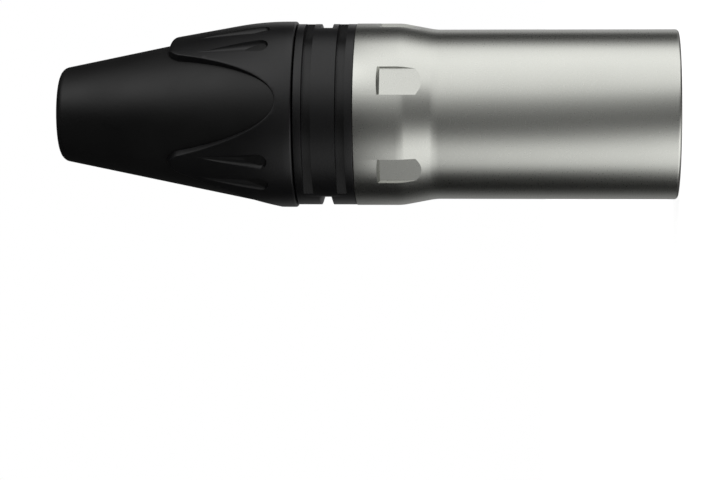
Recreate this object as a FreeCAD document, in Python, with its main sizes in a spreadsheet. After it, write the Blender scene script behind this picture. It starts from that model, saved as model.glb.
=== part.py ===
import FreeCAD, Part
import math
import os
import re
import Sketcher

# Male cable plug with three pins, standing on its open mouth.
# The plug's axis is +Z, from the mouth at zero to the tip of the cable boot.
# The key of the socket and the middle of one grip pocket face -Y.
# Every length is in millimetres and every angle in degrees.

Vector = FreeCAD.Vector

SIZES = [
    # Die-cast shell
    ("socket_radius", 8.1),
    ("barrel_wall", 1.4),
    ("barrel_length", 27.0),
    ("socket_depth", 15.6),
    ("rim_bevel", 0.5),
    ("mouth_bevel", 0.35),
    ("flare_length", 3.7),
    ("flare_rise", 0.7),
    ("collar_length", 5.17),
    ("bore_step", 0.7),
    ("stop_rib_height", 0.5),
    ("stop_rib_length", 1.4),
    ("neck_wall", 0.9),
    ("thread_length", 5.55),
    ("neck_bevel", 0.35),
    # Grip pockets round the collar
    ("pocket_count", 6),
    ("pocket_depth", 0.52),
    ("pocket_width", 2.68),
    ("pocket_wall_slope", 45.0),
    ("pocket_land", 2.91),
    # Key and latch recess in the socket
    ("key_width", 2.2),
    ("key_height", 0.9),
    ("key_length", 7.6),
    ("latch_width", 5.0),
    ("latch_length", 2.6),
    ("latch_setback", 3.6),
    ("latch_depth", 0.7),
    # Contact carrier
    ("insert_play", 0.05),
    ("disc_length", 6.0),
    ("arm_length", 10.0),
    ("cup_play", 0.13),
    ("arm_gap", 7.0),
    # Contacts
    ("pin_radius", 1.2),
    ("pin_edge_wall", 1.2),
    ("pin_spread", 59.0),
    ("pin_setback", 1.7),
    ("pin_play", 0.02),
    ("nose_bevel", 0.7),
    ("cup_wall", 0.42),
    ("cup_bore_radius", 1.15),
    ("cup_length", 5.6),
    ("cup_bottom", 1.2),
    # Earth tab
    ("tab_thickness", 0.4),
    ("tab_width", 3.4),
    ("tab_reach", 3.9),
    ("tab_length", 7.4),
    ("tab_bow", 0.4),
    # Cable chuck
    ("cable_radius", 4.0),
    ("chuck_play", 0.05),
    ("chuck_gap", 0.1),
    ("chuck_wall", 1.9),
    ("jaw_wall", 1.35),
    ("jaw_play", 0.12),
    ("jaw_setback", 1.0),
    ("slot_width", 1.3),
    ("slot_length", 15.5),
    ("grip_length", 7.1),
    ("tooth_depth", 0.45),
    # Coding ring
    ("ring_length", 6.58),
    ("ring_inset", 0.05),
    ("ring_play", 0.1),
    ("ring_turn", -4.3),
    ("flange_width", 0.9),
    ("groove_width", 1.07),
    ("groove_depth", 1.0),
    ("groove_span", 128.0),
    ("notch_width", 1.4),
    ("notch_floor", 0.85),
    ("notch_depth", 0.85),
    ("notch_span", 93.0),
    # Boot nut
    ("nut_gap", 0.1),
    ("nut_overhang", 0.24),
    ("nut_bevel", 0.25),
    ("nut_land", 1.05),
    ("thread_play", 0.08),
    ("thread_runout", 1.0),
    ("scallop_count", 3),
    ("scallop_pitch", 96.0),
    ("lobe_length", 14.25),
    ("lobe_curve", 32.0),
    ("lobe_taper", 10.1),
    ("lobe_bevel", 0.6),
    ("lobe_corner", 1.1),
    ("nut_turn", -13.0),
    ("scallop_setback", 1.85),
    ("scallop_reach", 23.9),
    ("scallop_half_angle", 43.3),
    ("scallop_lean", 27.0),
    ("core_tail", 1.2),
    # Flutes in the lobes
    ("flute_radius", 1.1),
    ("flute_depth", 0.55),
    ("flute_setback", 3.75),
    ("flute_length", 7.7),
    ("flute_lift", 0.12),
    ("flute_pitch", 18.0),
    # Boot gland
    ("boot_length", 26.85),
    ("gland_skin", 0.55),
    ("gland_sink", 0.06),
    ("gland_lap", 0.18),
    ("tip_wall", 1.155),
    ("tip_bevel", 0.6),
]

PLACES = [
    # Radii, from the socket outwards
    ("barrel_radius", "socket_radius + barrel_wall"),
    ("collar_radius", "barrel_radius + flare_rise"),
    ("rear_bore_radius", "socket_radius - bore_step"),
    ("stop_rib_radius", "rear_bore_radius - stop_rib_height"),
    ("neck_radius", "rear_bore_radius + neck_wall"),
    ("pocket_floor", "collar_radius - pocket_depth"),
    ("ring_radius", "collar_radius - ring_inset"),
    ("ring_bore_radius", "neck_radius + ring_play"),
    ("nut_radius", "collar_radius + nut_overhang"),
    ("nut_bore_radius", "neck_radius + thread_play"),
    ("insert_radius", "rear_bore_radius - insert_play"),
    ("insert_nose_radius", "stop_rib_radius - insert_play"),
    ("pin_circle_radius", "insert_nose_radius - pin_edge_wall - pin_radius"),
    ("cup_radius", "cup_bore_radius + cup_wall"),
    ("arm_radius", "pin_circle_radius + cup_radius + cup_play"),
    ("tab_contact", "sqrt(rear_bore_radius ^ 2 - (tab_width / 2) ^ 2)"),
    ("tab_seat", "tab_contact - tab_bow"),
    ("chuck_radius", "rear_bore_radius - chuck_play"),
    ("chuck_bore_radius", "chuck_radius - chuck_wall"),
    ("jaw_radius", "cable_radius + jaw_wall"),
    ("gland_tip_radius", "cable_radius + tip_wall"),
    # Heights above the mouth
    ("flare_end", "barrel_length + flare_length"),
    ("shoulder", "flare_end + collar_length"),
    ("rib_end", "socket_depth + stop_rib_length"),
    ("disc_end", "rib_end + disc_length"),
    ("arm_end", "disc_end + arm_length"),
    ("ring_end", "shoulder + ring_length"),
    ("neck_end", "ring_end + thread_length"),
    ("nut_front", "ring_end + nut_gap"),
    ("nut_land_end", "nut_front + nut_land"),
    ("lobe_end", "nut_front + lobe_length"),
    ("scallop_apex", "nut_front + scallop_setback"),
    ("thread_end", "neck_end + thread_runout"),
    ("core_end", "lobe_end + core_tail"),
    ("boot_end", "nut_front + boot_length"),
    ("chuck_front", "arm_end + chuck_gap"),
    ("jaw_end", "core_end - jaw_setback"),
    # Slopes, as rise over run
    ("lobe_slope", "tan(lobe_taper * 1 deg)"),
    ("lobe_bend", "nut_land_end + lobe_curve * sin(lobe_taper * 0.5 deg)"),
    ("lobe_bend_radius", "nut_radius - lobe_curve * (1 - cos(lobe_taper * 0.5 deg))"),
    ("lobe_knee_radius", "nut_radius - lobe_curve * (1 - cos(lobe_taper * 1 deg))"),
    ("lobe_knee", "nut_land_end + lobe_curve * sin(lobe_taper * 1 deg)"),
    ("lobe_end_radius", "lobe_knee_radius - (lobe_end - lobe_knee) * lobe_slope"),
    ("apex_run", "scallop_apex - nut_land_end"),
    ("apex_drop", "lobe_curve - sqrt(lobe_curve ^ 2 - apex_run ^ 2)"),
    ("gland_front_radius", "nut_radius - apex_drop - gland_sink"),
    ("gland_slope", "(gland_front_radius - gland_tip_radius) / (boot_end - scallop_apex)"),
    ("core_front_radius", "gland_front_radius - gland_skin"),
    ("core_end_radius", "core_front_radius - (core_end - scallop_apex) * gland_slope"),
    ("jaw_slope", "(chuck_radius - jaw_radius) / (jaw_end - thread_end)"),
    # Flute axis, from the middle of its round end to its point
    ("flute_start", "nut_front + flute_setback"),
    ("flute_end", "flute_start + flute_length"),
    ("flute_start_drop", "lobe_curve - sqrt(lobe_curve ^ 2 - (flute_start - nut_land_end) ^ 2)"),
    ("flute_start_radius", "nut_radius - flute_start_drop + flute_radius - flute_depth"),
    ("flute_end_radius", "lobe_knee_radius - (flute_end - lobe_knee) * lobe_slope + flute_lift"),
    ("flute_tilt", "atan((flute_start_radius - flute_end_radius) / flute_length)"),
]

NAMES = [name for name, entry in SIZES + PLACES]

# Contacts one and two flank the key and contact three is opposite it
PIN_ANGLES = ["(-90 + pin_spread) * 1 deg", "(-90 - pin_spread) * 1 deg", "90 deg"]

doc = FreeCAD.newDocument("xlr_plug")
sheet = doc.addObject("Spreadsheet::Sheet", "Sizes")
for row, (name, entry) in enumerate(SIZES + PLACES, start=1):
    sheet.set("A%d" % row, name)
    sheet.set("B%d" % row, "=" + entry if isinstance(entry, str) else str(entry))
    sheet.setAlias("B%d" % row, name)
doc.recompute()


def bound(text):
    """The formula with each name pointed at its cell in the sheet."""
    return re.sub(r"[a-z][a-z0-9_]*", lambda word: point_at(word.group()), text)


def point_at(word):
    return "Sizes." + word if word in NAMES else word


def value(text):
    """What the formula comes to now, as a plain number."""
    found = sheet.evalExpression(bound(text))
    return float(getattr(found, "Value", found))


def new_body(label):
    body = doc.addObject("PartDesign::Body", label)
    body.Label = label
    return body


def origin_feature(body, role):
    return [item for item in body.Origin.OriginFeatures if item.Role == role][0]


def new_sketch(body, name, plane="XZ_Plane", out="0", turn=None):
    """An empty sketch on one of the body's own planes, moved out along its normal or turned about Z."""
    sketch = body.newObject("Sketcher::SketchObject", name)
    sketch.AttachmentSupport = [(origin_feature(body, plane), "")]
    sketch.MapMode = "FlatFace"
    if turn is not None:
        sketch.AttachmentOffset = FreeCAD.Placement(Vector(), FreeCAD.Rotation(Vector(0, 1, 0), 1))
        sketch.setExpression("AttachmentOffset.Rotation.Angle", bound("(" + turn + ") * 1 deg"))
    if out != "0":
        sketch.setExpression("AttachmentOffset.Base.z", bound(out))
    return sketch


def bind_point(sketch, edge, end, across, up):
    """Hold one end of an edge at two formulas."""
    for kind, axis, text in (("DistanceX", -2, across), ("DistanceY", -1, up)):
        if text == "0":
            sketch.addConstraint(Sketcher.Constraint("PointOnObject", edge, end, axis))
            continue
        index = sketch.addConstraint(Sketcher.Constraint(kind, -1, 1, edge, end, value(text)))
        sketch.setExpression("Constraints[%d]" % index, bound(text))


def outline(sketch, corners):
    """Draw a closed outline of straight edges through corners, each given by two formulas."""
    points = [Vector(value(across), value(up), 0) for across, up in corners]
    edges = []
    for index, point in enumerate(points):
        end = points[(index + 1) % len(points)]
        edges.append(sketch.addGeometry(Part.LineSegment(point, end)))
    for index, edge in enumerate(edges):
        sketch.addConstraint(Sketcher.Constraint("Coincident", edges[index - 1], 2, edge, 1))
        bind_point(sketch, edge, 1, *corners[index])


def circle(sketch, across, up, radius):
    centre = Vector(value(across), value(up), 0)
    edge = sketch.addGeometry(Part.Circle(centre, Vector(0, 0, 1), value(radius)))
    hold = sketch.addConstraint(Sketcher.Constraint("Radius", edge, value(radius)))
    sketch.setExpression("Constraints[%d]" % hold, bound(radius))
    bind_point(sketch, edge, 3, across, up)


def revolve(body, name, sketch, kind="PartDesign::Revolution", span=None, axis="V_Axis"):
    feature = body.newObject(kind, name)
    feature.Profile = sketch
    feature.ReferenceAxis = (sketch, [axis])
    feature.Angle = 360
    if span is not None:
        feature.Midplane = True
        feature.setExpression("Angle", bound("(" + span + ") * 1 deg"))
    return feature


def push(body, name, sketch, length, kind="PartDesign::Pocket", both_ways=False, taper=None):
    """Pad or pocket a sketch by a length, along its normal or both ways."""
    feature = body.newObject(kind, name)
    feature.Profile = sketch
    feature.setExpression("Length", bound(length))
    feature.Midplane = both_ways
    if kind == "PartDesign::Pocket":
        feature.Reversed = True
    if taper is not None:
        feature.setExpression("TaperAngle", bound("(" + taper + ") * 1 deg"))
    return feature


def polar(body, name, features, count):
    """Repeat features evenly round Z."""
    pattern = body.newObject("PartDesign::PolarPattern", name)
    pattern.Originals = features
    pattern.Axis = (origin_feature(body, "Z_Axis"), [""])
    pattern.Angle = 360
    pattern.setExpression("Occurrences", bound(count))
    body.Tip = pattern
    return pattern


def ring_edges(feature, radius, height):
    """Names of the circular edges round Z that have a radius and lie at a height."""
    doc.recompute()
    found = []
    for index, edge in enumerate(feature.Shape.Edges, start=1):
        curve = edge.Curve
        if not isinstance(curve, Part.Circle):
            continue
        if abs(curve.Radius - value(radius)) < 1e-4 and abs(curve.Center.z - value(height)) < 1e-4:
            if math.hypot(curve.Center.x, curve.Center.y) < 1e-4:
                found.append("Edge%d" % index)
    return found


def bevel(body, name, base, edges, size):
    feature = body.newObject("PartDesign::Chamfer", name)
    feature.Base = (base, edges)
    feature.setExpression("Size", bound(size))
    body.Tip = feature
    return feature


def boolean(kind, label, base, tool):
    joined = doc.addObject(kind, label)
    joined.Label = label
    joined.Base = base
    joined.Tool = tool
    return joined


# Shell: one turned profile with the socket, the stop rib, the rear bore and the threaded neck
def make_shell():
    body = new_body("shell")
    profile = new_sketch(body, "shell_profile")
    outline(profile, [
        ("socket_radius", "0"),
        ("barrel_radius", "0"),
        ("barrel_radius", "barrel_length"),
        ("collar_radius", "flare_end"),
        ("collar_radius", "shoulder"),
        ("neck_radius", "shoulder"),
        ("neck_radius", "neck_end"),
        ("rear_bore_radius", "neck_end"),
        ("rear_bore_radius", "rib_end"),
        ("stop_rib_radius", "rib_end"),
        ("stop_rib_radius", "socket_depth"),
        ("socket_radius", "socket_depth"),
    ])
    casting = revolve(body, "casting", profile)
    rim = ring_edges(casting, "barrel_radius", "0")
    rimmed = bevel(body, "rim_bevelling", casting, rim, "rim_bevel")
    inner_rim = ring_edges(rimmed, "socket_radius", "0")
    opened = bevel(body, "mouth_bevelling", rimmed, inner_rim, "mouth_bevel")
    neck_rim = ring_edges(opened, "neck_radius", "neck_end")
    bevel(body, "neck_bevelling", opened, neck_rim, "neck_bevel")

    # Flat-floored pockets whose walls slope outwards and that run out on the flare
    floor = new_sketch(body, "pocket_floor_outline", out="pocket_floor")
    outline(floor, [
        ("-pocket_width / 2", "barrel_length - flare_length / 2"),
        ("pocket_width / 2", "barrel_length - flare_length / 2"),
        ("pocket_width / 2", "shoulder - pocket_land"),
        ("-pocket_width / 2", "shoulder - pocket_land"),
    ])
    pocket = push(body, "grip_pocket", floor, "pocket_depth * 2", taper="pocket_wall_slope")
    polar(body, "grip_pockets", [pocket], "pocket_count")

    # Key rib along the socket, on the side of contacts one and two
    rib = new_sketch(body, "key_outline", plane="XY_Plane", out="socket_depth - key_length")
    outline(rib, [
        ("-key_width / 2", "-(socket_radius + barrel_wall / 2)"),
        ("key_width / 2", "-(socket_radius + barrel_wall / 2)"),
        ("key_width / 2", "-(socket_radius - key_height)"),
        ("-key_width / 2", "-(socket_radius - key_height)"),
    ])
    push(body, "key", rib, "key_length + stop_rib_length / 2", kind="PartDesign::Pad")

    # Recess that a socket's latch drops into
    recess = new_sketch(body, "latch_outline", out="socket_radius / 2")
    outline(recess, [
        ("-latch_width / 2", "latch_setback"),
        ("latch_width / 2", "latch_setback"),
        ("latch_width / 2", "latch_setback + latch_length"),
        ("-latch_width / 2", "latch_setback + latch_length"),
    ])
    push(body, "latch_recess", recess, "socket_radius / 2 + latch_depth")
    return body


# Contact carrier: a disc that seats against the stop rib, with two arms back to the chuck
def make_insert():
    body = new_body("insert")
    profile = new_sketch(body, "insert_profile")
    outline(profile, [
        ("0", "socket_depth"),
        ("insert_nose_radius", "socket_depth"),
        ("insert_nose_radius", "rib_end"),
        ("insert_radius", "rib_end"),
        ("insert_radius", "arm_end"),
        ("arm_radius", "arm_end"),
        ("arm_radius", "disc_end"),
        ("0", "disc_end"),
    ])
    revolve(body, "insert_moulding", profile)

    # The wall behind the disc is open on two sides, which leaves the arms
    gap = new_sketch(body, "arm_gap_outline")
    outline(gap, [
        ("-arm_gap / 2", "disc_end"),
        ("arm_gap / 2", "disc_end"),
        ("arm_gap / 2", "arm_end + stop_rib_length"),
        ("-arm_gap / 2", "arm_end + stop_rib_length"),
    ])
    push(body, "arm_gaps", gap, "insert_radius * 3", both_ways=True)

    holes = new_sketch(body, "contact_holes_outline", plane="XY_Plane", out="socket_depth - stop_rib_length")
    for angle in PIN_ANGLES:
        circle(holes, "pin_circle_radius * cos(%s)" % angle, "pin_circle_radius * sin(%s)" % angle,
               "cup_radius + pin_play")
    push(body, "contact_holes", holes, "disc_length + stop_rib_length * 3")
    return body


# Contact: a pin with a bevelled nose, and behind it a thicker shank that ends in a solder cup
def make_pin(number):
    body = new_body("pin_%d" % number)
    profile = new_sketch(body, "pin_%d_profile" % number)
    outline(profile, [
        ("0", "pin_setback"),
        ("pin_radius - nose_bevel", "pin_setback"),
        ("pin_radius", "pin_setback + nose_bevel"),
        ("pin_radius", "socket_depth"),
        ("cup_radius", "socket_depth"),
        ("cup_radius", "disc_end + cup_length"),
        ("cup_bore_radius", "disc_end + cup_length"),
        ("cup_bore_radius", "disc_end + cup_bottom"),
        ("0", "disc_end + cup_bottom"),
    ])
    revolve(body, "pin_%d_turning" % number, profile)

    # The cup is cut away on the side that faces the plug's axis
    window = new_sketch(body, "pin_%d_window" % number)
    outline(window, [
        ("-cup_radius * 1.5", "disc_end + cup_bottom * 1.5"),
        ("-cup_bore_radius / 3", "disc_end + cup_bottom * 1.5"),
        ("-cup_bore_radius / 3", "disc_end + cup_length * 1.1"),
        ("-cup_radius * 1.5", "disc_end + cup_length * 1.1"),
    ])
    push(body, "pin_%d_opening" % number, window, "cup_radius * 3", both_ways=True)
    angle = PIN_ANGLES[number - 1]
    body.setExpression("Placement.Base.x", bound("pin_circle_radius * cos(%s)" % angle))
    body.setExpression("Placement.Base.y", bound("pin_circle_radius * sin(%s)" % angle))
    body.Placement = FreeCAD.Placement(body.Placement.Base, FreeCAD.Rotation(Vector(0, 0, 1), 1))
    body.setExpression("Placement.Rotation.Angle", bound(angle))
    return body


# Earth tab: a bent strip on the back of the carrier whose bow bears on the shell's bore
def make_tab():
    body = new_body("earth_tab")
    section = new_sketch(body, "tab_section", turn="-90")
    outline(section, [
        ("insert_radius - tab_reach", "disc_end"),
        ("tab_seat", "disc_end"),
        ("tab_contact", "disc_end + tab_length / 2"),
        ("tab_seat", "disc_end + tab_length"),
        ("tab_seat - tab_thickness", "disc_end + tab_length"),
        ("tab_contact - tab_thickness", "disc_end + tab_length / 2"),
        ("tab_seat - tab_thickness", "disc_end + tab_thickness"),
        ("insert_radius - tab_reach", "disc_end + tab_thickness"),
    ])
    push(body, "tab_strip", section, "tab_width", kind="PartDesign::Pad", both_ways=True)
    return body


# Cable chuck: a sleeve with four jaws that the nut's inner cone closes round the cable
def make_chuck():
    body = new_body("cable_chuck")
    profile = new_sketch(body, "chuck_profile")
    outline(profile, [
        ("chuck_bore_radius", "chuck_front"),
        ("chuck_radius", "chuck_front"),
        ("chuck_radius", "thread_end"),
        ("jaw_radius", "jaw_end"),
        ("cable_radius + tooth_depth", "jaw_end"),
        ("cable_radius + tooth_depth", "jaw_end - grip_length"),
        ("chuck_bore_radius", "jaw_end - grip_length - (chuck_bore_radius - cable_radius) * 1.5"),
    ])
    sleeve = revolve(body, "chuck_sleeve", profile)
    slot = new_sketch(body, "slot_outline")
    outline(slot, [
        ("-slot_width / 2", "jaw_end - slot_length"),
        ("slot_width / 2", "jaw_end - slot_length"),
        ("slot_width / 2", "jaw_end + jaw_wall"),
        ("-slot_width / 2", "jaw_end + jaw_wall"),
    ])
    cross = new_sketch(body, "cross_slot_outline", turn="90")
    outline(cross, [
        ("-slot_width / 2", "jaw_end - slot_length"),
        ("slot_width / 2", "jaw_end - slot_length"),
        ("slot_width / 2", "jaw_end + jaw_wall"),
        ("-slot_width / 2", "jaw_end + jaw_wall"),
    ])
    push(body, "jaw_slot", slot, "chuck_radius * 3", both_ways=True)
    push(body, "cross_jaw_slot", cross, "chuck_radius * 3", both_ways=True)
    return body


# Coding ring: two grooves on each of two opposite faces, and a notch between those faces
def make_ring():
    body = new_body("coding_ring")
    profile = new_sketch(body, "ring_profile")
    outline(profile, [
        ("ring_bore_radius", "shoulder"),
        ("ring_radius", "shoulder"),
        ("ring_radius", "ring_end"),
        ("ring_bore_radius", "ring_end"),
    ])
    revolve(body, "ring_blank", profile)
    grooves = []
    starts = {"front": "shoulder + flange_width", "rear": "ring_end - flange_width - groove_width"}
    for name, start in starts.items():
        section = new_sketch(body, name + "_groove_section", turn="ring_turn - 90")
        outline(section, [
            ("ring_radius - groove_depth", start),
            ("ring_radius * 1.1", start),
            ("ring_radius * 1.1", start + " + groove_width"),
            ("ring_radius - groove_depth", start + " + groove_width"),
        ])
        grooves.append(revolve(body, name + "_groove", section, "PartDesign::Groove", "groove_span"))
    section = new_sketch(body, "notch_section", turn="ring_turn")
    middle = "(shoulder + ring_end) / 2"
    outline(section, [
        ("ring_radius - notch_depth", middle + " - notch_floor / 2"),
        ("ring_radius", middle + " - notch_width / 2"),
        ("ring_radius * 1.1", middle + " - notch_width / 2"),
        ("ring_radius * 1.1", middle + " + notch_width / 2"),
        ("ring_radius", middle + " + notch_width / 2"),
        ("ring_radius - notch_depth", middle + " + notch_floor / 2"),
    ])
    notch = revolve(body, "notch", section, "PartDesign::Groove", "notch_span")
    polar(body, "opposite_faces", grooves + [notch], "2")
    return body


def lobe_surface(height):
    """Radius of the boot nut's outer surface at a height."""
    run = height - value("nut_land_end")
    if run <= 0:
        return value("nut_radius")
    if height >= value("lobe_knee"):
        return value("lobe_knee_radius") - (height - value("lobe_knee")) * value("lobe_slope")
    return value("nut_radius") - value("lobe_curve") + math.sqrt(value("lobe_curve") ** 2 - run ** 2)


# Cutter for the nut's scallops: elliptical wedges that also take the lobes' corners off
def make_scallop_cutter():
    """Seen from outside, a wedge is an ellipse's end; its walls lean outwards on straight lines.

    The scallops aren't spread evenly, so that two of the lobes are narrow and the third is wide.
    """
    apex = value("scallop_apex")
    reach = value("scallop_reach")
    end = value("lobe_end")
    end_radius = lobe_surface(end)
    half_angle = math.radians(value("scallop_half_angle"))
    wall_angle = half_angle + math.radians(value("scallop_lean"))
    half_width = end_radius * math.sin(half_angle)
    lean_line = end_radius * math.cos(half_angle) - half_width / math.tan(wall_angle)
    corner = value("lobe_corner")
    stations = 5
    overrun = 0.3
    inner = lean_line + 1.2
    outer = value("nut_radius") + overrun

    def share(height):
        return math.sqrt(1 - ((apex + reach - height) / reach) ** 2)

    def half_gap(height, plane):
        across = half_width * share(height) / share(end)
        out = math.sqrt(lobe_surface(height) ** 2 - across ** 2)
        return across / (out - lean_line) * (plane - lean_line)

    def corner_gap(plane):
        angle = half_angle + (corner + overrun) / end_radius
        run = plane - end_radius * math.cos(angle)
        return end_radius * math.sin(angle) + run * math.tan(wall_angle)

    def wire(plane):
        points = []
        steps = range(-stations, stations + 1)
        for step in steps:
            height = apex + (end - corner - apex) * (step / stations) ** 2
            across = half_gap(height, plane) if step else 0.0
            points.append(Vector(math.copysign(across, step), -plane, height))
        curve = Part.BSplineCurve()
        curve.interpolate(Points=points, Parameters=[float(step) for step in steps])
        foot = [Vector(side * corner_gap(plane), -plane, end + overrun) for side in (1, -1)]
        ends = [points[-1]] + foot + [points[0]]
        edges = [Part.LineSegment(*pair).toShape() for pair in zip(ends, ends[1:])]
        return Part.Wire([curve.toShape()] + edges)

    wedge = Part.makeLoft([wire(inner), wire(outer)], True, True)
    copies = []
    for index in range(int(value("scallop_count"))):
        copy = wedge.copy()
        copy.rotate(Vector(), Vector(0, 0, 1), value("nut_turn") - value("scallop_pitch") * index)
        copies.append(copy)
    cutter = doc.addObject("Part::Feature", "scallop_cutter")
    cutter.Shape = Part.makeCompound(copies)
    return cutter


# Flute cutter: a long drop with a blunt nose, turned about an axis that runs out of the lobe's surface
def make_flute_cutter():
    cutter = new_body("flute_cutter")
    cutter.AllowCompound = True
    drops = []
    for side, name in ((-1, "lower"), (1, "upper")):
        turn = "nut_turn - 90 - scallop_pitch * (scallop_count - 0.5) + flute_pitch / 2 * %d" % side
        section = new_sketch(cutter, name + "_flute_section", turn=turn)
        axis = section.addGeometry(Part.LineSegment(
            Vector(value("flute_start_radius"), value("flute_start"), 0),
            Vector(value("flute_end_radius"), value("flute_end"), 0)), True)
        bind_point(section, axis, 1, "flute_start_radius", "flute_start")
        bind_point(section, axis, 2, "flute_end_radius", "flute_end")
        outline(section, [
            ("flute_start_radius + flute_radius * sin(flute_tilt)",
             "flute_start - flute_radius * cos(flute_tilt)"),
            ("flute_start_radius + flute_radius * cos(flute_tilt)",
             "flute_start + flute_radius * sin(flute_tilt)"),
            ("flute_end_radius", "flute_end"),
        ])
        drops.append(revolve(cutter, name + "_flute", section, axis="Axis0"))
    flutes = polar(cutter, "flutes", drops, "scallop_count + 1")
    flutes.setExpression("Angle", bound("scallop_pitch * scallop_count"))
    return cutter


# Boot nut before its flutes: a scalloped outer shell on a cored, threaded cone
def make_plain_nut():
    lobes = new_body("nut_lobes")
    profile = new_sketch(lobes, "lobe_profile")
    outline(profile, [
        ("nut_bore_radius", "nut_front"),
        ("nut_radius", "nut_front"),
        ("nut_radius", "nut_land_end"),
        ("lobe_bend_radius", "lobe_bend"),
        ("lobe_knee_radius", "lobe_knee"),
        ("lobe_end_radius", "lobe_end"),
        ("core_end_radius - gland_skin", "lobe_end"),
        ("nut_bore_radius", "neck_end"),
    ])
    shell = revolve(lobes, "lobe_shell", profile)
    tips = ring_edges(shell, "lobe_end_radius", "lobe_end")
    tipped = bevel(lobes, "lobe_tip_bevelling", shell, tips, "lobe_bevel")
    front = ring_edges(tipped, "nut_radius", "nut_front")
    bevel(lobes, "nut_front_bevelling", tipped, front, "nut_bevel")

    core = new_body("nut_core")
    profile = new_sketch(core, "core_profile")
    outline(profile, [
        ("nut_bore_radius", "nut_front + nut_bevel"),
        ("core_front_radius + (scallop_setback - nut_bevel) * gland_slope", "nut_front + nut_bevel"),
        ("core_end_radius", "core_end"),
        ("chuck_radius + jaw_play - (core_end - thread_end) * jaw_slope", "core_end"),
        ("chuck_radius + jaw_play", "thread_end"),
        ("nut_bore_radius", "thread_end"),
    ])
    revolve(core, "core_cone", profile)
    scalloped = boolean("Part::Cut", "nut_scalloped", lobes, make_scallop_cutter())
    return boolean("Part::Fuse", "nut_plain", scalloped, core)


# Boot gland: the soft cone that fills the scallops, covers the nut's core and ends at the cable
def make_gland(nut):
    cone = new_body("gland_cone")
    profile = new_sketch(cone, "gland_profile")
    outline(profile, [
        ("(nut_bore_radius + core_front_radius) / 2", "scallop_apex - gland_lap"),
        ("gland_front_radius + gland_lap * gland_slope", "scallop_apex - gland_lap"),
        ("gland_tip_radius + tip_bevel * gland_slope", "boot_end - tip_bevel"),
        ("gland_tip_radius - tip_bevel", "boot_end"),
        ("cable_radius", "boot_end"),
        ("cable_radius", "core_end"),
        ("core_end_radius - gland_skin", "core_end"),
        ("(nut_bore_radius + core_front_radius - (thread_end - scallop_apex) * gland_slope) / 2",
         "thread_end"),
    ])
    revolve(cone, "gland_blank", profile)
    return boolean("Part::Cut", "boot_gland", cone, nut)


plain_nut = make_plain_nut()
KEPT = [
    make_shell(),
    make_insert(),
    make_pin(1),
    make_pin(2),
    make_pin(3),
    make_tab(),
    make_chuck(),
    make_ring(),
    boolean("Part::Cut", "boot_nut", plain_nut, make_flute_cutter()),
    make_gland(plain_nut),
]
doc.recompute()

for item in doc.Objects:
    if "Invalid" in item.State or "Error" in item.State:
        raise RuntimeError("%s failed: %s" % (item.Label, item.getStatusString()))
os.makedirs("parts", exist_ok=True)
for item in KEPT:
    shape = item.Shape
    if shape.isNull() or not shape.isValid() or not shape.Solids:
        raise RuntimeError("%s has no sound shape" % item.Label)
    shape.exportStep("parts/%s.step" % item.Label)
    box = shape.BoundBox
    print("%-12s %9.2f mm3  %3d faces  %d solid  z %.2f to %.2f" % (
        item.Label, shape.Volume, len(shape.Faces), len(shape.Solids), box.ZMin, box.ZMax))
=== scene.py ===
import math

import bmesh
import bpy
from mathutils import Matrix, Vector


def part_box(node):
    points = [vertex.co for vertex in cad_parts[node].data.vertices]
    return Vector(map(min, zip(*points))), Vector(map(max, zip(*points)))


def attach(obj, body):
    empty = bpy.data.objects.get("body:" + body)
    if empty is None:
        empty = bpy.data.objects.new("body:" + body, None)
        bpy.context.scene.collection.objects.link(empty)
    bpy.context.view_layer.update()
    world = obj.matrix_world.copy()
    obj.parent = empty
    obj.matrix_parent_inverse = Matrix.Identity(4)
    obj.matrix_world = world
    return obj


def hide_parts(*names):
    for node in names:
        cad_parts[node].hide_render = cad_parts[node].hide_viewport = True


bl_info = {
    "name": "XLR plug",
    "version": (1, 0, 0),
    "blender": (4, 5, 0),
    "location": "3D View > Sidebar > XLR plug",
    "description": "Builds the finished pieces of a cable plug around its packed model",
    "category": "Add Mesh",
}

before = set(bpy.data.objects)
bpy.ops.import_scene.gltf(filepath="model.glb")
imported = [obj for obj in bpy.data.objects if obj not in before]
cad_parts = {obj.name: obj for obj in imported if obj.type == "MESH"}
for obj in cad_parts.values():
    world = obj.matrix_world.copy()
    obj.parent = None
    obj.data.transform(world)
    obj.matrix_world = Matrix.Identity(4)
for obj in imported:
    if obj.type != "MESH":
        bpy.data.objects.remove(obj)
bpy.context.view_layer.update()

# Meshes are modelled in millimetres and scaled to metres when a piece is finished
MM = 0.001


def low(node, axis=2):
    """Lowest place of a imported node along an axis, in millimetres."""
    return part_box(node)[0][axis] / MM


def high(node, axis=2):
    """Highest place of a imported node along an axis, in millimetres."""
    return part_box(node)[1][axis] / MM


# Places along the plug, from the mouth to the cable
SHOULDER = low("coding_ring")
RING_END = high("coding_ring")
NECK_END = high("shell")
NUT_FRONT = low("boot_nut")
CORE_END = high("boot_nut")
BOOT_END = high("boot_gland")
DISC_FRONT = low("insert")
ARM_END = high("insert")
DISC_END = low("earth_tab")
TAB_END = high("earth_tab")
CHUCK_FRONT = low("cable_chuck")
JAW_END = high("cable_chuck")
PIN_TIP = low("pin_1")
CUP_END = high("pin_1")

# Radii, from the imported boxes
COLLAR_RADIUS = high("shell", 0)
RING_RADIUS = high("coding_ring", 0)
NUT_RADIUS = (high("boot_nut", 0) - low("boot_nut", 0)) / 2
INSERT_RADIUS = high("insert", 0)

# Steps in a full turn and in a rounded corner, and the bend above which an edge stays sharp
ROUND_STEPS = 192
CORNER_STEPS = 5
SMOOTH_ANGLE = math.radians(28)

# Rounding of the small edges whose own size can't be seen, in millimetres
SLIGHT = 0.1

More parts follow.
